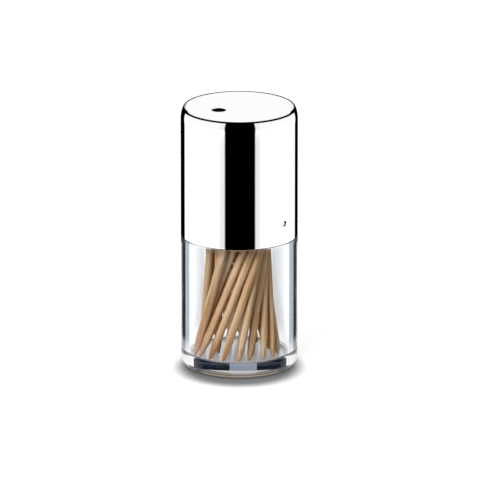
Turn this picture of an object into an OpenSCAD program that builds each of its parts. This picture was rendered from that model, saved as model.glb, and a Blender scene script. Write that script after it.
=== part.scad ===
/* [Holder] */
// Outside diameter that the cup and the cap share
holder_d = 35; // [34:0.5:38]

/* [Cup] */
// Height of the cup up to the shoulder that carries the cap
cup_body_h = 40.3; // [38:0.1:42]
// Thickness of the clear wall
cup_wall_t = 2.6; // [2.4:0.1:2.7]
// Thickness of the clear floor
cup_floor_t = 4.3; // [3:0.1:5]
// Rounding where the wall meets the underside
cup_base_round_r = 2.1; // [1.5:0.1:2.4]
// Rounding of the shoulder's outer edge
cup_shoulder_round_r = 0.3; // [0.2:0.05:0.5]
// Rounding in the corner between the cavity's wall and its floor
cup_corner_round_r = 0.8; // [0.4:0.1:1.2]
// Width of the ring that the cup stands on
cup_foot_w = 1.6; // [1:0.1:2.5]
// Depth of the shallow hollow under the floor
cup_underside_h = 0.25; // [0.15:0.05:0.5]

/* [Neck] */
// Height of the neck above the shoulder
neck_h = 10.7; // [9.5:0.1:12]
// Height of the close land at the foot of the neck
neck_land_h = 3.5; // [2:0.1:4.5]
// Rounding of the neck's top edges
neck_round_r = 0.4; // [0.2:0.05:0.6]
// Clearance on the radius between the close land and the cap
neck_land_clearance = 0.1; // [0.06:0.02:0.3]
// Clearance on the radius between the neck and the cap's two dimples
neck_dimple_clearance = 0.05; // [0.05:0.01:0.2]

/* [Cap] */
// Height of the cap
cap_h = 39.7; // [38:0.1:44]
// Thickness of the cap's sheet steel
cap_sheet_t = 0.5; // [0.4:0.05:0.7]
// Width of the cap's shoulder, from its side to its flat top
cap_shoulder_w = 1.2; // [1:0.05:1.5]
// Radius of the long arc that runs from the side into the shoulder
cap_shoulder_r = 8; // [6:0.5:12]
// Rounding of the corner between the shoulder and the flat top
cap_corner_r = 0.55; // [0.5:0.05:0.7]
// Rounding of the outer corner of the cap's lower edge
cap_edge_round_r = 0.15; // [0.1:0.05:0.25]

/* [Dispensing hole] */
// Diameter of the hole in the top of the cap
hole_d = 4.2; // [3.4:0.1:5]
// Distance from the holder's axis to the hole
hole_offset = 7.4; // [7.2:0.1:7.8]
// Turn of the hole about the axis, from the front towards the right
hole_turn = -55.5; // [-57:0.5:-54]

/* [Dimples] */
// Width of a pressed dimple at the cap's surface
dimple_d = 1.9; // [1.6:0.1:2.4]
// Depth of a dimple
dimple_depth = 0.45; // [0.3:0.05:0.6]
// Height of the dimples above the cap's lower edge
dimple_rise = 6.4; // [5.6:0.1:7.4]
// Turn of the first dimple about the axis, from the front towards the right
dimple_turn = 50.5; // [30:0.5:80]
// Number of dimples round the cap
dimple_count = 2; // [2:1:4]

/* [Toothpicks] */
// Length of a toothpick
pick_l = 65; // [62:0.5:66]
// Diameter of a toothpick
pick_d = 2.2; // [1.8:0.05:2.2]
// Length of each pointed end
pick_point_l = 7; // [6:0.5:12]
// Diameter of the blunt tip
pick_tip_d = 0.6; // [0.3:0.05:0.7]
// Height of a resting tip above the cavity's floor
pick_stand_gap = 0.03; // [0.01:0.01:0.1]

/* [Hidden] */
$fn = 96;
// How far a cutting shape runs past what it cuts
overrun = 1;

holder_r = holder_d / 2;
holder_h = cup_body_h + cap_h;
cavity_r = holder_r - cup_wall_t;
cap_inner_r = holder_r - cap_sheet_t;
neck_land_r = cap_inner_r - neck_land_clearance;
neck_top_z = cup_body_h + neck_h;

// A dimple is a dent of this radius, whose centre lies outside the wall
dent_r = (pow(dimple_d / 2, 2) + pow(dimple_depth, 2)) / (2 * dimple_depth);
dent_centre_r = holder_r - dimple_depth + dent_r;
bump_tip_r = holder_r - dimple_depth - cap_sheet_t;
neck_r = bump_tip_r - neck_dimple_clearance;
underside_r = holder_r - cup_base_round_r - cup_foot_w;

// Height of the cap's shoulder, the distance from the axis to the centre of its long arc,
// and the height at which that arc meets the corner's, where both have one tangent
cap_shoulder_h = cap_corner_r
    + sqrt(pow(cap_shoulder_r - cap_corner_r, 2) - pow(cap_shoulder_r - cap_shoulder_w, 2));
shoulder_centre_r = holder_r - cap_shoulder_r;
shoulder_meet_h = cap_h - cap_shoulder_h
    + cap_shoulder_r * (cap_shoulder_h - cap_corner_r) / (cap_shoulder_r - cap_corner_r);

// Largest shares of the cavity's radius that a toothpick's radius and the hole's offset take,
// so that a narrower holder gets thinner toothpicks and a hole nearer its axis
pick_room_share = 0.074;
hole_room_share = 0.497;
pick_r = min(pick_d / 2, pick_room_share * cavity_r);
pick_tip_r = pick_tip_d / 2;
hole_reach = min(hole_offset, hole_room_share * cavity_r);

// Side of a pointed end: place along the point, and radius from the tip's to the full one
point_shares = [[0, 0], [0.1, 0.26], [0.3, 0.56], [0.6, 0.84], [1, 1]];

// Toothpicks in the twisted bundle: turn of the foot from the front towards the right,
// its share of the cavity's radius, and the same two for the head
bundle_shares = [
    [-63, 0.94, 8, 1.05],
    [-75, 0.88, 27, 1.05],
    [-54, 0.93, 47, 1.05],
    [-37, 0.94, 61, 1.05],
    [-20, 0.93, 74, 1.04],
    [-1, 0.90, 96, 0.80],
    [14, 0.78, 116, 0.90],
    [36, 0.80, 140, 0.80],
    [50, 0.84, 151, 1.04],
    [66, 0.82, 168, 1.05],
    [83, 0.80, 186, 1.04],
    [101, 0.82, 204, 1.05],
    [120, 0.87, 222, 1.04],
    [140, 0.93, 241, 1.05],
    [159, 0.92, 262, 1.05],
    [178, 0.93, 281, 1.04],
    [191, 0.92, 300, 1.05],
    [212, 0.93, 317, 1.04],
    [237, 0.92, 338, 1.05],
    [60, 0.58, 168, 0.72],
    [88, 0.60, 196, 0.70],
    [115, 0.58, 223, 0.72],
    [142, 0.60, 250, 0.72],
    [170, 0.58, 278, 0.70],
    [28, 0.54, 138, 0.60],
    [0, 0.56, 108, 0.60],
    [-30, 0.52, 76, 0.55],
];

/* Names of the pieces */
BUNDLE_COUNT = len(bundle_shares);
function pick_name(i) = str("toothpick_", i < 10 ? "0" : "", i);

// A point at a turn from the front towards the right, a distance from the axis and a height
function at_turn(turn, r, z) = [r * sin(turn), -r * cos(turn), z];

// A square with its far corner rounded, measured from the axis
module rounded_block(r, h, round_r) {
    square([r - round_r, h]);
    square([r, h - round_r]);
    translate([r - round_r, h - round_r]) circle(round_r);
}

module cup_outline() {
    translate([0, cup_base_round_r])
        rounded_block(holder_r, cup_body_h - cup_base_round_r, cup_shoulder_round_r);
    square([holder_r - cup_base_round_r, cup_body_h]);
    translate([holder_r - cup_base_round_r, cup_base_round_r]) circle(cup_base_round_r);
    rounded_block(neck_land_r, cup_body_h + neck_land_h, neck_round_r);
    rounded_block(neck_r, neck_top_z, neck_round_r);
}

module cavity_outline() {
    translate([0, cup_floor_t + cup_corner_round_r]) square([cavity_r, neck_top_z]);
    translate([0, cup_floor_t]) square([cavity_r - cup_corner_round_r, neck_top_z]);
    translate([cavity_r - cup_corner_round_r, cup_floor_t + cup_corner_round_r])
        circle(cup_corner_round_r);
}

// The clear cup: thick wall and floor, and the neck that the cap slides over
module cup() {
    color([0.85, 0.9, 0.95, 0.35])
        rotate_extrude()
            difference() {
                cup_outline();
                cavity_outline();
                translate([0, -overrun]) square([underside_r, overrun + cup_underside_h]);
            }
}

// What lies within the long arc of the shoulder, drawn in by a distance, up to a height
module shoulder_arc(inset, top_h) {
    intersection() {
        translate([shoulder_centre_r, cap_h - cap_shoulder_h]) circle(cap_shoulder_r - inset);
        square([holder_r - inset, top_h]);
    }
    square([shoulder_centre_r, top_h]);
}

module cap_outline() {
    translate([0, cap_edge_round_r]) square([holder_r, cap_h - cap_shoulder_h - cap_edge_round_r]);
    square([holder_r - cap_edge_round_r, cap_h / 2]);
    translate([holder_r - cap_edge_round_r, cap_edge_round_r]) circle(cap_edge_round_r);
    shoulder_arc(0, shoulder_meet_h);
    translate([holder_r - cap_shoulder_w, cap_h - cap_corner_r]) circle(cap_corner_r);
    square([holder_r - cap_shoulder_w, cap_h]);
}

module cap_wall() {
    translate([0, 0, cup_body_h])
        rotate_extrude()
            difference() {
                cap_outline();
                translate([0, -overrun]) square([cap_inner_r, overrun + cap_h - cap_shoulder_h]);
                shoulder_arc(cap_sheet_t, cap_h - cap_sheet_t);
            }
}

// Balls of one radius at the centres of the dimples
module dimple_balls(r) {
    for (i = [0 : dimple_count - 1])
        translate(at_turn(dimple_turn + i * 360 / dimple_count, dent_centre_r, cup_body_h + dimple_rise))
            sphere(r);
}

// The mirror-bright steel cap: dispensing hole in the top, pressed dimples in the side
module cap() {
    color("silver")
        difference() {
            union() {
                cap_wall();
                intersection() {
                    dimple_balls(dent_r + cap_sheet_t);
                    translate([0, 0, cup_body_h]) cylinder(h = cap_h / 2, r = holder_r - cap_sheet_t / 2);
                }
            }
            dimple_balls(dent_r);
            translate(at_turn(hole_turn, hole_reach, holder_h - cap_sheet_t - overrun))
                cylinder(h = cap_sheet_t + 2 * overrun, d = hole_d);
        }
}

function point_profile(z, way) = [for (s = point_shares)
    [pick_tip_r + s[1] * (pick_r - pick_tip_r), z + way * s[0] * pick_point_l]];

function reversed(list) = [for (i = [len(list) - 1 : -1 : 0]) list[i]];

// A toothpick that stands on its tip at the origin
module pick_shape() {
    color("burlywood")
        rotate_extrude()
            polygon(concat(
                [[0, 0]],
                point_profile(0, 1),
                reversed(point_profile(pick_l, -1)),
                [[0, pick_l]]
            ));
}

// A toothpick whose foot stands on the cavity's floor and whose axis points at the head
module leaning_pick(foot, head) {
    run = head - foot;
    lean = asin(norm(run) / pick_l);
    translate([foot.x, foot.y, cup_floor_t + pick_stand_gap + pick_tip_r * sin(lean)])
        rotate([0, lean, atan2(run.y, run.x)])
            pick_shape();
}

module bundle_pick(i) {
    s = bundle_shares[i - 1];
    leaning_pick(at_turn(s[0], s[1] * cavity_r, 0), at_turn(s[2], s[3] * cavity_r, 0));
}

// The toothpick that stands upright under the dispensing hole
module dispensing_pick() {
    translate(at_turn(hole_turn, hole_reach, cup_floor_t + pick_stand_gap)) pick_shape();
}

cup();
cap();
dispensing_pick();  // dispensing_toothpick
for (i = [1 : BUNDLE_COUNT])
    bundle_pick(i);
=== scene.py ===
# %% [markdown]
# # A toothpick holder: clear cup, mirror cap, wooden toothpicks
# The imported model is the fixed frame. It holds every piece at its real size, in metres, with the
# origin under the middle of the cup, +Z up and -Y towards the camera. This script gives each piece
# its finish. A turned part of clear plastic or mirror shows every facet of its mesh, so the cup,
# the cap and the toothpicks are lathed again here with many more faces than the model has, at the
# same size and in the same place.

import math
import random

import bpy
from mathutils import Matrix, Vector


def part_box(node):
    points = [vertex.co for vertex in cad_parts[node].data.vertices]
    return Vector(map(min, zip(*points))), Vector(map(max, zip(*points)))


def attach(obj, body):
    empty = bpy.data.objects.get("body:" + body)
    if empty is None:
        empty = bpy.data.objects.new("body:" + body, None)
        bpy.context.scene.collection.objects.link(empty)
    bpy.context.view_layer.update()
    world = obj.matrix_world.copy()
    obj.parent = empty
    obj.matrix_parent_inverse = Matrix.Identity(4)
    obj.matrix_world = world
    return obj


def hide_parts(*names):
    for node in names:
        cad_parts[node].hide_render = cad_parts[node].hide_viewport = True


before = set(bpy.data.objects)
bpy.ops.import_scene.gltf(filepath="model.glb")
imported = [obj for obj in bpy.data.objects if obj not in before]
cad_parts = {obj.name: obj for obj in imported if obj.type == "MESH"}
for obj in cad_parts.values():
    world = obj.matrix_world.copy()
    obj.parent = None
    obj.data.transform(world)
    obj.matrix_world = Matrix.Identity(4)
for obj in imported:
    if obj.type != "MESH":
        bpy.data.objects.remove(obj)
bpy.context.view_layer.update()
MM = 0.001
cap_low, cap_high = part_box("cap")
holder_r = cap_high.x
seam_z = cap_low.z
cap_top_z = cap_high.z
print(f"holder {2 * holder_r / MM:.1f} mm across and {cap_top_z / MM:.1f} mm tall")
print(f"the cap meets the cup at {seam_z / MM:.1f} mm")

# %% [markdown]
# ## Rings
# Everything here is turned on a lathe. Blender's Screw modifier could spin an outline, but a list
# of rings, one above or inside the next, leaves each ring free to be something other than a circle
# about the axis, which the cap's off-centre hole and its dimples need. A turn is an angle in
# degrees that starts at the front, on -Y, and goes towards the right. A ring of one point is a
# pole, which closes a mesh on its axis.


# %% Points and rings
def at_turn(turn, r, z):
    """The point at a turn, a radius and a height."""
    a = math.radians(turn)
    return (r * math.sin(a), -r * math.cos(a), z)


def even_turns(count):
    return [360 * i / count for i in range(count)]


def turned(r, z, turns):
    """A ring about the Z axis, or its pole where the radius is nil."""
    return [at_turn(t, r, z) for t in turns] if r > 0 else [(0, 0, z)]


print("a point at the front:", at_turn(0, holder_r, 0))

# %% [markdown]
# ## A mesh from rings
# The skin between two rings is a row of four-cornered faces, or of triangles where one of the two
# is a pole. The faces are shaded smooth, apart from real edges, which are left sharp by the angle
# between their faces.

# %% Skinning rings
sharp_angle = 35


def ring_faces(rings, closed):
    """Faces between each ring and the next, and from the last to the first where closed."""
    starts = [sum(len(ring) for ring in rings[:i]) for i in range(len(rings))]
    faces = []
    for a in range(len(rings) if closed else len(rings) - 1):
        b = (a + 1) % len(rings)
        na, nb = len(rings[a]), len(rings[b])
        for k in range(max(na, nb)):
            corners = [
                starts[a] + k % na,
                starts[a] + (k + 1) % na if na > 1 else None,
                starts[b] + (k + 1) % nb if nb > 1 else None,
                starts[b] + k % nb,
            ]
            faces.append([c for c in corners if c is not None])
    return faces


def ring_mesh(name, rings, closed=False):
    """An object skinned over a list of rings. closed is for a tube's wall."""
    mesh = bpy.data.meshes.new(name)
    mesh.from_pydata([point for ring in rings for point in ring], [], ring_faces(rings, closed))
    mesh.polygons.foreach_set("use_smooth", [True] * len(mesh.polygons))
    mesh.set_sharp_from_angle(angle=math.radians(sharp_angle))
    mesh.update()
    piece = bpy.data.objects.new(name, mesh)
    bpy.context.scene.collection.objects.link(piece)
    print(f"{name}: {len(mesh.vertices)} vertices, {len(mesh.polygons)} faces")
    return piece


print(f"edges of more than {sharp_angle} degrees stay sharp")

# %% [markdown]
# ## Outlines
# An outline is a list of (radius, height) points. Corners are arcs. Smooth shading averages the
# directions of the faces round a corner and spreads the result over the next face, so a long
# straight side gets extra points, the outer two a hair's breadth from its ends: they keep the side
# flat, which matters in a mirror and in a lens.

# %% Outline helpers
HAIR = 0.08 * MM


def arc(centre_r, centre_z, radius, start, end, steps):
    """Points round a corner; 0 degrees points outwards and 90 upwards."""
    angles = [math.radians(start + (end - start) * i / steps) for i in range(steps + 1)]
    return [(centre_r + radius * math.cos(a), centre_z + radius * math.sin(a)) for a in angles]


def with_hairs(outline):
    """The outline with points a hair's breadth inside both ends of a long side, and in its middle."""
    made = [outline[0]]
    for (r0, z0), (r1, z1) in zip(outline, outline[1:]):
        length = math.hypot(r1 - r0, z1 - z0)
        if length > 6 * HAIR:
            s = HAIR / length
            made += [(r0 + (r1 - r0) * q, z0 + (z1 - z0) * q) for q in (s, 0.5, 1 - s)]
        made.append((r1, z1))
    return made


print(f"a hair's breadth is {HAIR / MM} mm")

# %% [markdown]
# ## The clear cup
# One moulding of clear acrylic: a thick wall, a thicker floor and, hidden under the cap, a neck
# that guides it. It could be the model's own solid with a smoother shading, but light bends at
# every one of its facets, so it is lathed again. The wall has to have its real thickness, because
# the dark lines down both sides of the cup in the photograph are light that turns back inside the
# wall. The underside is a little hollow, so that the cup stands on a narrow ring.

# %% Cup sizes
wall_t = 2.6 * MM
floor_t = 4.3 * MM
base_round_r = 2.1 * MM
shoulder_round_r = 0.3 * MM
corner_round_r = 0.8 * MM
foot_w = 1.6 * MM
underside_h = 0.25 * MM
land_h = 3.5 * MM
land_r = holder_r - 0.6 * MM
neck_r = holder_r - 1.0 * MM
neck_round_r = 0.4 * MM
neck_top_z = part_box("cup")[1].z
cavity_r = holder_r - wall_t
print(f"cavity {2 * cavity_r / MM:.1f} mm across, neck up to {neck_top_z / MM:.1f} mm")

# %% Cup mesh
round_steps = 256


def cup_outline():
    """From the middle of the underside, up the outside and the neck, and down the cavity."""
    foot_r = holder_r - base_round_r
    hollow_r = foot_r - foot_w
    lip_round_r = neck_round_r / 2
    return (
        [(0, underside_h), (hollow_r - underside_h, underside_h), (hollow_r, 0), (foot_r, 0)]
        + arc(foot_r, base_round_r, base_round_r, -90, 0, 14)[1:]
        + arc(holder_r - shoulder_round_r, seam_z - shoulder_round_r, shoulder_round_r, 0, 90, 8)
        + [(land_r, seam_z)]
        + arc(land_r - neck_round_r, seam_z + land_h - neck_round_r, neck_round_r, 0, 90, 6)
        + arc(neck_r - neck_round_r, neck_top_z - neck_round_r, neck_round_r, 0, 90, 6)
        + arc(cavity_r + lip_round_r, neck_top_z - lip_round_r, lip_round_r, 90, 180, 6)
        + arc(cavity_r - corner_round_r, floor_t + corner_round_r, corner_round_r, 0, -90, 8)
        + [(0, floor_t)]
    )


cup_rings = [turned(r, z, even_turns(round_steps)) for r, z in with_hairs(cup_outline())]
cup = ring_mesh("clear_cup", cup_rings)
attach(cup, "cup_body")
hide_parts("cup")

# %% [markdown]
# ## The mirror cap
# The real cap is pressed from sheet steel and polished. Its flat top drops very slightly at its
# edge, turns down round a small corner and runs into a tall, soft shoulder, all of which the press
# leaves. It could be a plain lathed shell with the hole and the dimples cut by booleans, but a cut
# leaves hard edges and uneven faces, which a mirror shows. Here the sheet is one skin of rings
# instead: up the hole's wall, across the top, over the shoulder, down the outside, round the lower
# edge and back up the inside.

# %% Cap sizes
sheet_t = 0.5 * MM
cap_edge_round_r = 0.15 * MM
crown_w = 1.2 * MM
crown_drop = 0.03 * MM
crown_end_tilt = 87.1
shoulder_w = 1.2 * MM
shoulder_r = 8 * MM
corner_r = 0.55 * MM
shoulder_h = corner_r + math.sqrt((shoulder_r - corner_r) ** 2 - (shoulder_r - shoulder_w) ** 2)
shoulder_meet = math.degrees(math.atan2(shoulder_h - corner_r, shoulder_r - shoulder_w))
shoulder_z = cap_top_z - crown_drop - shoulder_h
top_r = holder_r - shoulder_w
print(f"shoulder {shoulder_h / MM:.2f} mm tall")
print(f"the corner runs into it at a tilt of {shoulder_meet:.1f} degrees")

# %% [markdown]
# ## The dimples
# Two dimples are pressed low in the cap's side, one near the front at the right and one opposite.
# Inside, their bumps hold the cap on the neck. A dimple could be displaced by a texture, but here
# it is simply part of the rings: a point on the side moves inwards by the dent's depth there, on
# both faces of the sheet. The rings get finer steps round each dimple, so that its flank is smooth.

# %% Dents in the side
dimple_r = 0.95 * MM
dimple_depth = 0.45 * MM
dimple_z = seam_z + 6.4 * MM
dimple_turns = (50.5, 230.5)
dimple_flank = 0.55
dimple_fine_turn = 0.25
dimple_reach_turn = 3.5
dimple_fine_h = 0.08 * MM
dimple_reach_h = 1.04 * MM


def held(value):
    """A value held between 0 and 1."""
    return min(max(value, 0), 1)


def dent(turn, z):
    """How far the sheet is pressed in at a place on the side: a flat bottom and a smooth flank."""
    nearest = min(abs((turn - centre + 180) % 360 - 180) for centre in dimple_turns)
    away = math.hypot(math.radians(nearest) * holder_r, z - dimple_z) / dimple_r
    q = held((1 - away) / dimple_flank)
    return dimple_depth * q * q * (3 - 2 * q)


def fine_steps(coarse, centres, reach, step):
    """Coarse places, with fine ones instead within reach of each centre."""
    count = round(reach / step)
    fine = [c + step * k for c in centres for k in range(-count, count + 1)]
    kept = [v for v in coarse if all(abs(v - c) >= reach + step for c in centres)]
    return sorted(kept + fine)


cap_turns = fine_steps(even_turns(round_steps), dimple_turns, dimple_reach_turn, dimple_fine_turn)
coarse_levels = [seam_z + h * MM for h in (2, 3.5, 10, 16, 22, 28, 34)]
coarse_levels = [seam_z + cap_edge_round_r + HAIR, *coarse_levels, shoulder_z - HAIR]
side_levels = fine_steps(coarse_levels, (dimple_z,), dimple_reach_h, dimple_fine_h)
print(f"{len(cap_turns)} points in a ring, {len(side_levels)} rings up the side")

# %% [markdown]
# ## The cap's rings
# The rings on the top change bit by bit from the hole's circle, which is off centre, to the cap's.
# The ones further out all run round the axis.

# %% Rings of the top, the shoulder and the side
hole_r = 2.1 * MM
hole_rim_r = 0.12 * MM
hole_turn = -55.5
hole_offset = 7.4 * MM
hole_centre = Vector(at_turn(hole_turn, hole_offset, 0))


def side_ring(r, z):
    return [at_turn(t, r - dent(t, z), z) for t in cap_turns]


def top_ring(r_at_hole, share, z):
    """Part of the way from a circle round the hole to the edge of the flat top."""
    made = []
    for t in cap_turns:
        inner = hole_centre + Vector(at_turn(t, r_at_hole, 0))
        outer = Vector(at_turn(t, top_r, 0))
        p = inner.lerp(outer, share)
        made.append((p.x, p.y, z))
    return made


def crown():
    """The outermost part of the top, which drops a little more at each ring."""
    shares = [k / 5 for k in range(6)]
    return [turned(top_r - crown_w * (1 - q), cap_top_z - crown_drop * q * q, cap_turns) for q in shares]


def shoulder(inset):
    """The outline from the crown to the side: a small corner arc, then a long one."""
    corner_z = cap_top_z - crown_drop - corner_r
    corner = arc(top_r, corner_z, corner_r - inset, crown_end_tilt, shoulder_meet, 12)
    long = arc(holder_r - shoulder_r, shoulder_z, shoulder_r - inset, shoulder_meet, 0, 12)
    return corner + long[1:]


print(f"hole {2 * hole_r / MM:.1f} mm across, {hole_centre.length / MM:.1f} mm from the axis")

# %% Cap mesh
def cap_rings():
    """The whole sheet: the hole's wall, the outer face, the lower edge and the inner face."""
    inside_z = cap_top_z - sheet_t
    edge_z = seam_z + cap_edge_round_r
    shares = (HAIR / holder_r, 0.1, 0.3, 0.5, 0.7, 0.8)
    hole_rim = arc(hole_r + hole_rim_r, cap_top_z - hole_rim_r, hole_rim_r, 180, 90, 6)
    edge = arc(holder_r - cap_edge_round_r, edge_z, cap_edge_round_r, 0, -90, 6)
    rings = [top_ring(hole_r, 0, inside_z)]
    rings += [top_ring(r, 0, z) for r, z in hole_rim]
    rings += [top_ring(hole_r + hole_rim_r, s, cap_top_z) for s in shares]
    rings += crown()
    rings += [side_ring(r, z) for r, z in shoulder(0)]
    rings += [side_ring(holder_r, z) for z in reversed(side_levels)]
    rings += [side_ring(r, z) for r, z in edge]
    rings += [side_ring(holder_r - sheet_t, z) for z in [seam_z, *side_levels]]
    rings += [side_ring(r, z) for r, z in reversed(shoulder(sheet_t))]
    rings += [top_ring(hole_r, s, inside_z) for s in reversed(shares)]
    return rings


cap = ring_mesh("mirror_cap", cap_rings(), closed=True)
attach(cap, "cap_body")
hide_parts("cap")

# %% [markdown]
# ## Where the toothpicks stand
# Each toothpick is a birch rod with a point at both ends. The model says where it stands: its two
# ends are found as the middles of the node's blunt tips. They could be typed in, but read from the
# frame they stay right when the model changes.

# %% The ends of a toothpick
tip_slice = 0.3 * MM
pick_names = sorted(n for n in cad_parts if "toothpick" in n)


def ends_of(node):
    """The middles of a toothpick's two blunt tips, lowest first."""
    points = [v.co.copy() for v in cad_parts[node].data.vertices]
    low = min(points, key=lambda p: p.z)
    high = max(points, key=lambda p: p.z)
    way = (high - low).normalized()
    ends = []
    for sign in (1, -1):
        reach = min(sign * p.dot(way) for p in points)
        tip = [p for p in points if sign * p.dot(way) < reach + tip_slice]
        ends.append(sum(tip, Vector()) / len(tip))
    return ends


print(f"{len(pick_names)} toothpicks in the frame")

# %% [markdown]
# ## The toothpicks
# The mesh is made standing on the origin and then leaned into place by its object, so that its own
# Z runs along the grain and the wood's pattern can follow it. No two points are turned quite
# alike, and the rod is never thicker than the one in the frame, because they stand close together.
# What is left to chance is drawn from the toothpick's own name, so it is the same every time.

# %% Toothpick outline
pick_r = 1.1 * MM
pick_tip_r = 0.3 * MM
pick_point_l = 7 * MM
pick_sides = 32
point_shares = [
    (0, 0), (0.04, 0.11), (0.1, 0.26), (0.18, 0.39), (0.3, 0.56),
    (0.44, 0.71), (0.6, 0.84), (0.8, 0.94), (1, 1),
]


def point_outline(slim):
    """One point, from its tip: shares of its length and of its growth in radius."""
    return [(pick_tip_r + (pick_r - pick_tip_r) * q**slim, s * pick_point_l) for s, q in point_shares]


def pick_outline(length, chance):
    """The whole toothpick, each of its points a little slimmer or fuller than the other."""
    foot = point_outline(chance.uniform(0.95, 1.12))
    head = [(r, length - z) for r, z in reversed(point_outline(chance.uniform(0.95, 1.12)))]
    middle = [(pick_r, length * q) for q in (0.25, 0.4, 0.5, 0.6, 0.75)]
    return [(0, 0), *foot, *middle, *head, (0, length)]


print(f"a toothpick is {2 * pick_r / MM:.1f} mm thick, with points {pick_point_l / MM:.0f} mm long")

# %% Toothpick meshes
def make_pick(node):
    chance = random.Random(node)
    foot, head = ends_of(node)
    way = head - foot
    outline = pick_outline(way.length, chance)
    pick = ring_mesh("birch_" + node, [turned(r, z, even_turns(pick_sides)) for r, z in outline])
    lean = way.to_track_quat("Z", "Y").to_matrix().to_4x4()
    spin = Matrix.Rotation(chance.uniform(0, math.tau), 4, "Z")
    pick.matrix_world = Matrix.Translation(foot) @ lean @ spin
    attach(pick, "dispensed_body" if node == "dispensing_toothpick" else "cup_body")
    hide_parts(node)
    return pick


picks = [make_pick(name) for name in pick_names]
print(f"{len(picks)} toothpicks made")

# %% [markdown]
# ## Shader maths as plain sums
# A material is a small program made of nodes. Written node by node it is hard to read, so a wire
# from one node to the next is an object here, and sums on wires add the Math nodes. Each operator
# has its reflected form as well, so that 1 - mask works.


# %% Wires
class Wire:
    """A value that flows between shader nodes; sums on it add Math nodes."""

    def __init__(self, shader, socket):
        self.shader, self.socket = shader, socket

    def maths(self, operation, a, b):
        return self.shader.node("Math", {"operation": operation}, {0: a, 1: b})

    def __add__(self, other):
        return self.maths("ADD", self, other)

    def __radd__(self, other):
        return self.maths("ADD", other, self)

    def __sub__(self, other):
        return self.maths("SUBTRACT", self, other)

    def __rsub__(self, other):
        return self.maths("SUBTRACT", other, self)

    def __mul__(self, other):
        return self.maths("MULTIPLY", self, other)

    def __rmul__(self, other):
        return self.maths("MULTIPLY", other, self)

    def __pow__(self, other):
        return self.maths("POWER", self, other)

    def __rpow__(self, other):
        return self.maths("POWER", other, self)

    def __lt__(self, other):
        """1 where this is the smaller."""
        return self.maths("LESS_THAN", self, other)

    def __gt__(self, other):
        """1 where this is the larger, and the reflected form of the one above."""
        return self.maths("GREATER_THAN", self, other)

    def __or__(self, other):
        """The larger of two masks."""
        return self.maths("MAXIMUM", self, other)

    def __ror__(self, other):
        return self.maths("MAXIMUM", other, self)


print("wires add, subtract, multiply, raise and compare")

# %% [markdown]
# ## Any other node
# Every node is made by one method, which takes its type, its settings and its inputs. The settings
# come first, because some of them change which inputs the node has. Colours and vectors go through
# Mix and Vector Math, because a Math node would turn a colour grey.


# %% Shaders
class Shader:
    """The node tree of a material, or of the world."""

    def __init__(self, owner):
        owner.use_nodes = True
        self.tree = owner.node_tree
        self.tree.nodes.clear()

    def node(self, kind, settings=None, inputs=None, output=0):
        """Makes any node; the Wire is from one of its outputs, where it has any."""
        made = self.tree.nodes.new("ShaderNode" + kind)
        for key, value in (settings or {}).items():
            if key == "stops":
                self.set_stops(made.color_ramp, value)
            else:
                setattr(made, key, value)
        for key, value in (inputs or {}).items():
            if isinstance(value, Wire):
                self.tree.links.new(value.socket, made.inputs[key])
            else:
                made.inputs[key].default_value = value
        return Wire(self, made.outputs[output] if made.outputs else None)

    def set_stops(self, ramp, stops):
        for place, colour in stops[2:]:
            ramp.elements.new(place)
        for element, (place, colour) in zip(ramp.elements, stops):
            element.position = place
            element.color = colour

    def mixed(self, share, a, b, blend="MIX"):
        settings = {"data_type": "RGBA", "blend_type": blend}
        return self.node("Mix", settings, {0: share, 6: a, 7: b}, output=2)

    def noise(self, place, scale, detail):
        """Noise with its own scale along X, Y and Z, in spots per metre."""
        scaled = self.node("VectorMath", {"operation": "MULTIPLY"}, {0: place, 1: scale})
        return self.node("TexNoise", {}, {"Vector": scaled, "Scale": 1.0, "Detail": detail})

    def finish(self, surface, kind="OutputMaterial"):
        self.node(kind, {}, {"Surface": surface})


def material(name):
    made = bpy.data.materials.new(name)
    return made, Shader(made)


def put_on(mat, *pieces):
    for piece in pieces:
        piece.data.materials.clear()
        piece.data.materials.append(mat)
    print(f"{mat.name}: {len(mat.node_tree.nodes)} nodes, on {len(pieces)} pieces")


print("one method makes every node")

# %% [markdown]
# ## Clear acrylic
# Acrylic bends light a little less than glass does. A polished moulding still has faint rubbing
# near its foot, where it meets the table, and a trace of blue. When a picture is traced from the
# camera, the rays that look for a lamp can't find it through a wall that bends light, which would
# leave the toothpicks dark. So these rays pass straight through, a little dimmed.

# %% Acrylic material
acrylic_ior = 1.49
acrylic_tint = (0.975, 0.987, 1.0, 1)
acrylic_to_lamp = (0.955, 0.965, 0.975, 1)
acrylic_polish = 0.004
haze_roughness = 0.006
rub_roughness = 0.02
rub_h = 6 * MM
haze_depth = 0.02 * MM


def make_acrylic():
    mat, s = material("clear_acrylic")
    place = s.node("TexCoord", output="Object")
    height = s.node("SeparateXYZ", {}, {0: place}, output=2)
    low = s.node("MapRange", {}, {0: height, 1: rub_h, 2: 0.0, 3: 0.0, 4: 1.0})
    rub = s.noise(place, (900, 900, 2400), 4.0)
    haze = s.noise(place, (120, 120, 60), 2.0)
    bump = s.node("Bump", {}, {"Strength": 0.02, "Distance": haze_depth, "Height": haze})
    body = s.node("BsdfPrincipled", {}, {
        "Base Color": acrylic_tint,
        "Roughness": acrylic_polish + haze_roughness * haze + rub_roughness * (low * rub),
        "IOR": acrylic_ior,
        "Transmission Weight": 1.0,
        "Normal": bump,
    })
    to_lamp = s.node("LightPath", output="Is Shadow Ray")
    clear = s.node("BsdfTransparent", {}, {"Color": acrylic_to_lamp})
    s.finish(s.node("MixShader", {}, {0: to_lamp, 1: body, 2: clear}))
    return mat


put_on(make_acrylic(), cup)

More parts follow.
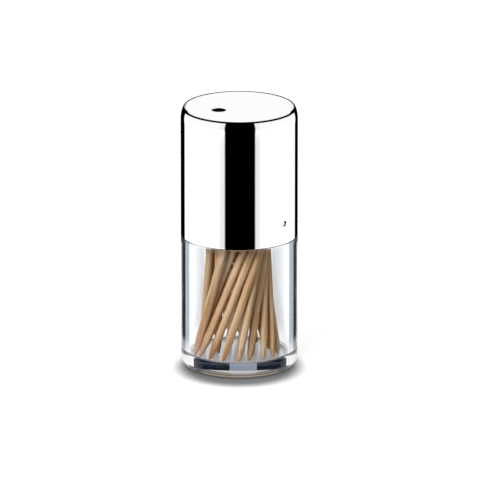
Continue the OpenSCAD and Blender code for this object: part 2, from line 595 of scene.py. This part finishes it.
# %% [markdown]
# ## Mirror steel
# Polished steel is a mirror that swallows a few parts in a hundred. A Metallic of 1 gives the
# mirror. What makes it look real is what it reflects, which the studio below provides, and a faint
# film of handling that blurs and dulls the reflection a little here and there. The polishing wheel
# leaves marks that run up the cap, so their noise is much finer round the cap than up it.

# %% Steel material
steel_colour = (0.98, 0.98, 0.983, 1)
film_dulling = 0.985
steel_polish = 0.012
film_roughness = 0.022
wheel_roughness = 0.01


def make_steel():
    mat, s = material("mirror_steel")
    place = s.node("TexCoord", output="Object")
    film = s.noise(place, (160, 160, 90), 5.0)
    wheel = s.noise(place, (2600, 2600, 140), 3.0)
    filmed = (*[film_dulling * c for c in steel_colour[:3]], 1)
    s.finish(s.node("BsdfPrincipled", {}, {
        "Base Color": s.mixed(film, steel_colour, filmed),
        "Metallic": 1.0,
        "Roughness": steel_polish + film_roughness * film + wheel_roughness * wheel,
    }))
    return mat


put_on(make_steel(), cap)

# %% [markdown]
# ## Birch
# A turned birch toothpick is pale tan, with fine fibres along it and a few darker streaks. A wood
# texture from a picture would repeat, so the grain is noise, stretched along the toothpick. Each
# one is cut from another place in the wood, so its pattern is shifted and its tone changed by a
# number that the object carries. The fibres lift a little. Where toothpicks crowd together, light
# bounces from one to the next and comes out warmer. That shade is painted into the base colour:
# where Ambient Occlusion finds toothpicks close by, the wood is painted darker and warmer.

# %% Birch material
birch_dark = (0.54, 0.27, 0.1, 1)
birch_mid = (0.8, 0.55, 0.31, 1)
birch_pale = (0.87, 0.73, 0.56, 1)
birch_warm = (0.9, 0.82, 0.72, 1)
birch_painted_crevice_shade = (0.7, 0.4, 0.19, 1)
birch_painted_crevice_shade_reach = 1.6 * MM
birch_gloss = 0.15
birch_roughness = 0.5
fibre_roughness = 0.25
fibre_lift = 0.03 * MM
streak_share = 0.6


def make_birch():
    mat, s = material("birch_wood")
    own = s.node("ObjectInfo", output="Random")
    place = s.node("TexCoord", output="Object")
    shift = s.node("CombineXYZ", {}, {0: own * 0.7, 1: own * 1.3, 2: own * 2.1})
    place = s.node("VectorMath", {"operation": "ADD"}, {0: place, 1: shift})
    streak = s.noise(place, (900, 900, 26), 3.0)
    fibre = s.noise(place, (6500, 6500, 130), 4.0)
    grain = streak * streak_share + fibre * (1 - streak_share)
    stops = [(0.36, birch_dark), (0.49, birch_mid), (0.6, birch_pale)]
    wood = s.node("ValToRGB", {"stops": stops}, {0: grain})
    wood = s.mixed(own, wood, birch_warm, "MULTIPLY")
    open_air = s.node("AmbientOcclusion", {"samples": 8}, {"Distance": birch_painted_crevice_shade_reach}, output="AO")
    bump = s.node("Bump", {}, {"Strength": 0.35, "Distance": fibre_lift, "Height": fibre})
    s.finish(s.node("BsdfPrincipled", {}, {
        # painted shade: the wood is painted darker and warmer where toothpicks crowd together
        "Base Color": s.mixed(1 - open_air, wood, birch_painted_crevice_shade, "MULTIPLY"),
        "Roughness": birch_roughness + fibre_roughness * fibre,
        "Specular IOR Level": birch_gloss,
        "Normal": bump,
    }))
    return mat


put_on(make_birch(), *picks)

# %% [markdown]
# ## The studio: an even white room
# A plain white floor and an even white room light the object. For the camera, and in mirrors and
# through clear parts, the room is at full white, where a strength of 1 is white. Anything else
# gets a little less light from it.

# %% Room
room_level = 0.95


def seen_directly(s):
    """1 for what the camera sees, by itself or in a mirror or through a clear part."""
    path = [s.node("LightPath", output=k) for k in ("Is Camera Ray", "Is Glossy Ray", "Is Transmission Ray")]
    scattered = s.node("LightPath", output="Diffuse Depth")
    return (path[0] | path[1] | path[2]) * (scattered < 0.5)


def make_room():
    world = bpy.data.worlds.new("white_room")
    bpy.context.scene.world = world
    s = Shader(world)
    level = room_level + seen_directly(s) * (1 - room_level)
    s.finish(s.node("Background", {}, {"Color": (1, 1, 1, 1), "Strength": level}), "OutputWorld")
    print(f"{world.name}: {room_level} bright")


make_room()

# %% [markdown]
# ## The studio: the floor
# The floor shines a little by itself, so that it reads as white where nothing shades it. A clear
# foot throws hardly any shadow of its own, yet in the photograph a tight dark halo hugs it. So a
# shadow is painted into the floor's colour, from two things: Ambient Occlusion, which measures how
# much of the open space just above a place is taken up, and a soft round shade that lies a little
# in front of the cup. Right beneath the cup the floor is seen through it, and its colour is painted
# there as well: painted light in the middle and painted shade under the foot's ring.

# %% Floor
floor_z = -0.02 * MM
floor_radii = (0, 0.5, 2.5)
floor_sides = 64
floor_glow = 0.57
floor_colour = (0.5, 0.5, 0.5, 1)
# The painted shadow round the foot: Ambient Occlusion, and a soft round shade in front of the cup.
contact_reach = 3 * MM
contact_power = 0.35
shade_middle = (0, -6 * MM, 0)
shade_dark_r = 14.5 * MM
shade_clear_r = 22 * MM
shade_level = 0.21
# Painted light and painted shade on the floor beneath the cup.
beneath_r = 16.6 * MM
painted_light_beneath_r = 13.5 * MM
painted_shade_beneath_r = 14.8 * MM
painted_light_beneath = 0.62
painted_shade_beneath = 0.1


def floor_painted_shadow(s):
    """How light painted shadow and painted shade leave the floor's colour, from 0 to 1."""
    place = s.node("TexCoord", output="Object")
    open_air = s.node("AmbientOcclusion", {"samples": 16}, {"Distance": contact_reach}, output="AO")
    aside = s.node("VectorMath", {"operation": "DISTANCE"}, {0: place, 1: shade_middle}, output=1)
    shade = s.node("MapRange", {"interpolation_type": "SMOOTHSTEP"},
                   {0: aside, 1: shade_dark_r, 2: shade_clear_r, 3: shade_level, 4: 1.0})
    from_axis = s.node("VectorMath", {"operation": "LENGTH"}, {0: place}, output=1)
    # painted light in the middle beneath the cup, painted shade under the foot's ring
    through = s.node("MapRange", {}, {0: from_axis, 1: painted_light_beneath_r, 2: painted_shade_beneath_r,
                                      3: painted_light_beneath, 4: painted_shade_beneath})
    beneath = from_axis < beneath_r
    return open_air**contact_power * shade * (1 - beneath) + beneath * through


def make_floor():
    floor = ring_mesh("floor", [turned(r, floor_z, even_turns(floor_sides)) for r in floor_radii])
    mat, s = material("floor_white")
    tone = floor_painted_shadow(s)
    lit = s.node("BsdfDiffuse", {}, {"Color": s.mixed(tone, (0, 0, 0, 1), floor_colour)})
    glow = s.node("Emission", {}, {"Strength": seen_directly(s) * tone * floor_glow})
    s.finish(s.node("AddShader", {}, {0: lit, 1: glow}))
    put_on(mat, floor)


make_floor()

# %% [markdown]
# ## The studio: the lamp
# One soft lamp stands in front at the left, high up. It gives the toothpicks their light and dark
# sides. A large disk makes soft shadows. Mirrors and clear parts don't see it, so it leaves no
# round spot on them.

# %% Lamp
key_place = Vector((-0.42, -0.5, 0.42))
key_target = Vector((0, 0, 30 * MM))
key_across = 0.4
key_power = 4.8


def soft_lamp(name, place, target, across, power):
    light = bpy.data.lights.new(name, "AREA")
    light.shape = "DISK"
    light.size = across
    light.energy = power
    lamp = bpy.data.objects.new(name, light)
    bpy.context.scene.collection.objects.link(lamp)
    lamp.location = place
    lamp.rotation_euler = (target - place).to_track_quat("-Z", "Y").to_euler()
    lamp.visible_glossy = False
    lamp.visible_transmission = False
    print(f"{name}: {power} W, {(target - place).length:.2f} m away")


soft_lamp("key_lamp", key_place, key_target, key_across, key_power)

# %% [markdown]
# ## The studio: cards
# A mirror or a clear part in an all-white room has no shape. A photographer stands cards round it,
# out of the picture, and moves them until their reflections fall where the shape needs a line.
# They could be moved by eye here too, but where a card has to lie follows from the mirror: light
# that the camera sees at an offset from the axis leaves a cylinder at twice the turn of the
# surface there, and goes on down to the floor at the camera's own slope. So a card is laid out
# along the rays of the offsets that it serves. Each corner of it has its own tone and cover, which
# it shows by its own glow: the cards are painted reflections, seen only in mirrors and through
# clear parts, and invisible to the camera and to lamps.

# %% A sheet that only reflections see
def stage_sheet(name, verts, faces, tones, seen_by, surfaces=None):
    """A sheet of painted reflection, with a tone and a cover at every corner, seen by "mirror", "clear" or
    "both".

    surfaces is 2 for views through solid acrylic alone, and 4 for views across the cup's cavity.
    """
    mesh = bpy.data.meshes.new(name)
    mesh.from_pydata(verts, [], faces)
    shade = mesh.attributes.new("shade", "FLOAT_COLOR", "POINT")
    shade.data.foreach_set("color", [value for tone in tones for value in tone])
    sheet = bpy.data.objects.new(name, mesh)
    bpy.context.scene.collection.objects.link(sheet)
    mat, s = material(name + "_card")
    colour = s.node("Attribute", {"attribute_name": "shade"}, output="Color")
    cover = s.node("Attribute", {"attribute_name": "shade"}, output="Alpha")
    if surfaces:
        solid_only = s.node("LightPath", output="Transmission Depth") < 2.5
        cover = cover * (solid_only if surfaces == 2 else 1 - solid_only)
    gone = s.node("BsdfTransparent")
    # the painted reflection glows with its own tone
    face = s.node("Emission", {}, {"Color": colour, "Strength": 1.0})
    s.finish(s.node("MixShader", {}, {0: cover, 1: gone, 2: face}))
    put_on(mat, sheet)
    sheet.visible_camera = False
    sheet.visible_diffuse = False
    sheet.visible_shadow = False
    sheet.visible_glossy = seen_by in ("mirror", "both")
    sheet.visible_transmission = seen_by in ("clear", "both")


print("sheets are ready")

# %% A card along the rays of some offsets
card_steps = 12


def between(shades):
    """The shades of a card, with even steps from each to the next."""
    made = []
    for (o0, c0), (o1, c1) in zip(shades, shades[1:]):
        for q in [k / card_steps for k in range(card_steps)]:
            made.append((o0 + (o1 - o0) * q, [x + (y - x) * q for x, y in zip(c0, c1)]))
    return made + [shades[-1]]


def card(name, look, shades, rows, seen_by, surfaces=None):
    """shades: (offset, (r, g, b, cover)); rows: (way from the surface, height, fade); all in mm."""
    stops = between(shades)
    verts, tones = [], []
    for way, height, fade in rows:
        for offset, tone in stops:
            turn, heading = look(offset * MM)
            verts.append(Vector(at_turn(turn, holder_r, height * MM)) + Vector(at_turn(heading, way * MM, 0)))
            tones.append((*tone[:3], tone[3] * fade))
    n = len(stops)
    faces = [
        (row * n + k, row * n + k + 1, (row + 1) * n + k + 1, (row + 1) * n + k)
        for row in range(len(rows) - 1)
        for k in range(n - 1)
    ]
    stage_sheet(name, verts, faces, tones, seen_by, surfaces)


print(f"cards have {card_steps} steps between shades")

# %% [markdown]
# ## Cards for the front of the cap
# In the photograph a black stripe runs down the front of the cap, with faint greys along both its
# sides. One card paints the stripe as a reflection: it lies on the floor from near the holder to
# 300 mm in front and stands up there. A second one, partly see-through, paints the greys. A third
# paints the floor close in front of the holder black, in reflections and in views through the cup:
# the front of the cup reflects it, and without that painted shade its gloss would veil the toothpicks.

# %% Front cards
camera_elevation = math.radians(16.93)
lift = 0.3
no_card = (0, 0, 0, 0)
black = (0, 0, 0, 1)


def off_mirror(offset):
    """Where the view at a sideways offset leaves the outside of the holder, and its turn then."""
    turn = math.degrees(math.asin(offset / holder_r))
    return turn, 2 * turn


def grey(cover):
    return (0, 0, 0, cover)


def standing(near, far, top):
    """A card on the floor from near to far, then upright."""
    return [(near, lift, 1), (far, lift, 1), (far, top, 1)]


card("front", off_mirror, [(-4.5, no_card), (-4.15, black), (4.6, black), (4.9, no_card)],
     standing(20, 300, 950), "mirror")
front_greys = [
    (-6.0, no_card), (-5.8, grey(0.36)), (-4.2, grey(0.42)),
    (4.7, grey(0.36)), (6.1, grey(0.28)), (6.3, no_card),
]
card("front_greys", off_mirror, front_greys,
     [(131, 2 * lift, 1), (250, 2 * lift, 1), (270, 2 * lift, 0.25), (280, 300, 0.25)], "mirror")
card("near_front", off_mirror, [(-13.2, no_card), (-10.8, black), (12.0, black), (13.8, no_card)],
     [(6, lift, 1), (128, lift, 1)], "both")

# %% [markdown]
# ## Cards for the sides
# Black lines run down both sides of the cap, and black cards paint them as reflections. The rays
# there graze the steel and go on behind the holder, so the cards for them lie behind it: one far
# out for the cap, and one nearer for the lower rays, which come off the cup's gloss. The
# photograph is not quite even, so left and right have their own offsets.

# %% Side cards
sides = (("left", -1, 16.2), ("right", 1, 16.5))

for label, side, edge in sides:
    card("far_edge_" + label, off_mirror,
         [(side * edge, no_card), (side * (edge + 0.1), black), (side * 17.49, black)],
         standing(125, 300, 140), "mirror")
    card("near_edge_" + label, off_mirror,
         [(side * 16.0, no_card), (side * 16.2, black), (side * 17.0, black), (side * 17.3, no_card)],
         [(12, lift, 0), (20, lift, 1), (128, lift, 1)], "mirror")

# %% [markdown]
# ## Cards for the cup's wall
# The clear wall is a strong lens. A view near the edge of the cup enters the wall, turns back at
# the cavity and leaves behind the cup. From outside in, the photograph shows grey, then a dark
# blue-black line, then pale blue, and the cards paint these tones into the wall as reflections.
# The turns follow from the law of refraction, with the acrylic's bending raised a little because
# the camera looks down on it.

# %% Wall cards
acrylic_bend = math.sqrt(acrylic_ior**2 - math.sin(camera_elevation) ** 2) / math.cos(camera_elevation)
wall_starts = {"left": 16.25, "right": 16.45}


def into_acrylic(offset):
    """The turns of the surface and of the ray within, where a view at an offset enters."""
    return math.asin(offset / holder_r), math.asin(offset / (acrylic_bend * holder_r))


def off_wall(offset):
    """As off_mirror, for a view that turns back at the inside of the clear wall."""
    outside, within = into_acrylic(offset)
    at_cavity = math.asin(offset / (acrylic_bend * cavity_r))
    leaves = outside + 2 * (at_cavity - within)
    return math.degrees(leaves), math.degrees(2 * (outside + at_cavity - within))


for label, side, edge in sides:
    dark_from = wall_starts[label]
    card("wall_" + label, off_wall, [
        (side * 14.92, (0.4, 0.48, 0.58, 1)),
        (side * 15.9, (0.4, 0.47, 0.56, 1)),
        (side * (dark_from - 0.15), (0.16, 0.2, 0.26, 1)),
        (side * dark_from, (0.0, 0.0, 0.001, 1)),
        (side * 16.85, (0.0, 0.0, 0.002, 1)),
        (side * 17.1, (0.2, 0.21, 0.23, 1)),
        (side * 17.45, (0.4, 0.41, 0.43, 1)),
    ], [(8, lift, 0), (26, lift, 1), (140, lift, 1), (140, 100, 1)], "clear", 2)

# %% [markdown]
# ## Cards for the cup's base
# The cup's thick floor is a solid disk, and the camera looks into it as into a lens. It shows dark
# and pale blocks side by side, with thin pale, brown and tan bands above and below them. The cards
# paint all of these as reflections; the brown and the tan stand in for the toothpicks' wood. What
# shows at each height there comes from another place behind the cup, so the cards lie on the
# floor in strips, out to 24 mm behind the surface, and go on upright there in low bands. The two
# ends of the base are seen at a slant and have cards of their own, which stand nearer.

# %% Tones of the base
# The tones of the painted reflections in the base.
white = (1, 1, 1, 1)
navy = (0.004, 0.01, 0.024, 1)
haze_blue = (0.27, 0.31, 0.38, 1)
slate = (0.1, 0.11, 0.135, 1)
deep_slate = (0.04, 0.05, 0.058, 1)
tan = (0.4, 0.3, 0.22, 1)
brown = (0.17, 0.13, 0.1, 1)
pale = (0.55, 0.55, 0.53, 1)
blocks = [
    (-15.0, no_card), (-14.9, white), (-13.7, white),
    (-13.6, navy), (-2.9, navy),
    (-2.8, haze_blue), (5.2, haze_blue),
    (5.3, navy), (14.1, navy),
    (14.2, white), (14.9, white), (15.0, no_card),
]


def between_ends(tone):
    """One tone along the front of the base, slate towards both ends."""
    return [(-14.9, slate), (-12.5, slate), (-10.5, tone), (11.0, tone), (13.0, slate), (14.9, slate)]


def ends_only(tone):
    return [(-16.5, tone), (-15.0, tone), (-14.9, no_card), (14.9, no_card), (15.0, tone), (16.5, tone)]


print(f"{len(blocks)} shades in the blocks of the base")

# %% Base cards
behind = 24
ends_behind = 14


def off_base(offset):
    """As off_mirror, for a view through the solid floor of the cup."""
    outside, within = into_acrylic(offset)
    return math.degrees(math.pi + outside - 2 * within), math.degrees(math.pi + 2 * (outside - within))


def base_card(name, shades, *rows):
    card("base_" + name, off_base, shades, [(way, height, 1) for way, height in rows], "clear", 2)


base_card("contact", between_ends(brown), (0.5, lift), (8, lift))
base_card("line", between_ends(pale), (8.1, lift), (11.8, lift))
base_card("floor", blocks, (11.9, lift), (14.6, lift))
base_card("tan", between_ends(tan), (14.7, lift), (behind, lift), (behind, 6.9))
base_card("brown", between_ends(brown), (behind, 7), (behind, 8.4))
base_card("pale", between_ends(pale), (behind, 8.5), (behind, 9.6))
base_card("blocks", blocks, (behind, 9.7), (behind, 14.5))
base_card("top", between_ends(brown), (behind, 14.6), (behind, 35))
base_card("ends_low", ends_only(deep_slate), (0.5, 2 * lift), (ends_behind, 2 * lift), (ends_behind, 3.7))
base_card("ends", ends_only(white), (ends_behind, 3.8), (ends_behind, 14))

# %% [markdown]
# ## A grey card behind the cavity
# Beside the toothpicks the camera looks right through the cup: wall, cavity, wall. The photograph
# is a soft grey there, close to the toothpicks, and white further out, and a partly see-through
# black card paints that grey in as shade. This view passes four surfaces instead of two, and the
# card is seen by such views alone.

# %% Cavity card
def off_cavity(offset):
    """As off_mirror, for a view straight across the cavity."""
    outside, within = into_acrylic(offset)
    at_wall = math.asin(offset / (acrylic_bend * cavity_r))
    in_cavity = math.asin(offset / cavity_r)
    leaves = math.pi + outside + 2 * (at_wall - within - in_cavity)
    heading = math.pi + 2 * (outside - within + at_wall - in_cavity)
    return math.degrees(leaves), math.degrees(heading)


cavity_greys = [
    (-14.4, no_card), (-13.2, grey(0.2)), (-12.3, grey(0.3)), (-11.0, grey(0.36)), (-10.0, no_card),
    (9.5, no_card), (10.2, grey(0.36)), (11.6, grey(0.32)), (13.1, grey(0.22)), (14.2, no_card),
]
card("cavity_back", off_cavity, cavity_greys,
     [(15, 3 * lift, 0), (30, 3 * lift, 1), (150, 3 * lift, 1)], "clear", 4)

# %% [markdown]
# ## The card for the line round the top
# A thin black line runs round the edge of the cap's top. The corner there faces every way, so what
# it reflects for the camera is a large part of the room, and only a curved sheet can fill just
# that. Each point of the sheet lies along one ray: the camera's view, reflected at one turn and
# one tilt of the surface, where a tilt of 90 faces straight up. At the back the camera sees only
# the last drop of the flat top, so the sheet serves its tilts alone. At the front the sheet is left
# open towards the highest tilts, because the flat top would mirror it in views from higher up.

# %% Rays off the top edge
rim_low_tilt = shoulder_meet - 2.3
rim_high_tilt = 87.3
rim_back_low_tilt = 87.0
rim_back_high_tilt = 88.7
rim_back_turn = 110
rim_back_blend = 40
rim_opening = 41.0
rim_opening_edge = 0.3
rim_opening_slope = 6
rim_least_rise = 0.5


def off_shoulder(turn, tilt):
    """Where the view of the cap's top edge leaves for, at a turn and a tilt of the surface there."""
    view = Vector((0, math.cos(camera_elevation), -math.sin(camera_elevation)))
    normal = Vector(at_turn(turn, math.cos(math.radians(tilt)), math.sin(math.radians(tilt))))
    return view - 2 * view.dot(normal) * normal


def rim_tilts(turn):
    """The lowest and the highest tilt that the sheet serves at a turn."""
    forwards = math.cos(math.radians(turn))
    back = held((abs(turn) - rim_back_turn) / rim_back_blend)
    front = held(rim_opening_slope * (forwards - rim_opening_edge))
    low = rim_low_tilt + (rim_back_low_tilt - rim_low_tilt) * back
    high = rim_high_tilt + (rim_back_high_tilt - rim_high_tilt) * back - rim_opening * front
    grazing = math.degrees(math.atan2(-forwards, math.tan(camera_elevation)))
    return max(low, grazing + rim_least_rise), high


print("tilts at the front: {:.1f} to {:.1f} degrees".format(*rim_tilts(0)))

# %% Rim sheet
rim_distance = 0.9
rim_rows, rim_columns = 24, 96


def rim_sheet():
    """A black painted reflection over all that the top edge reflects, brought down to the floor where it
    would pass it.
    """
    verts = []
    for turn in [-180 + 360 * i / rim_columns for i in range(rim_columns + 1)]:
        start = Vector(at_turn(turn, top_r, cap_top_z))
        low, high = rim_tilts(turn)
        for k in range(rim_rows + 1):
            way = off_shoulder(turn, low + (high - low) * k / rim_rows)
            reach = rim_distance
            if way.z < 0:
                reach = min(reach, (cap_top_z - lift * MM) / -way.z)
            verts.append(start + way * reach)
    n = rim_rows + 1
    faces = [
        (i * n + k, i * n + k + 1, (i + 1) * n + k + 1, (i + 1) * n + k)
        for i in range(rim_columns)
        for k in range(rim_rows)
    ]
    stage_sheet("rim", verts, faces, [black] * len(verts), "mirror")


rim_sheet()

# %% [markdown]
# ## The camera
# The photograph was taken from about 17 degrees above the table with a very long lens: the cap's
# width and the cup's are all but the same in it, and both rims are equally narrow ellipses. So the
# camera stands 3 m away, and its lens follows from the photograph's scale.

# %% Camera
photo_px = 480
px_per_mm = 3.3425
camera_distance = 3.0
camera_target = Vector((0.22 * MM, 0, 38.26 * MM))
sensor_w = 36.0

camera = bpy.data.objects.new("camera", bpy.data.cameras.new("camera"))
bpy.context.scene.collection.objects.link(camera)
camera.data.sensor_width = sensor_w
camera.data.lens = px_per_mm * (camera_distance / MM) * sensor_w / photo_px
camera.data.clip_start = 0.1
camera.data.clip_end = 20
away = Vector((0, -math.cos(camera_elevation), math.sin(camera_elevation)))
camera.location = camera_target + away * camera_distance
camera.rotation_euler = (-away).to_track_quat("-Z", "Y").to_euler()
bpy.context.scene.camera = camera
bpy.context.scene.view_settings.view_transform = "Standard"
print(f"lens {camera.data.lens:.0f} mm at {camera_distance:.1f} m")
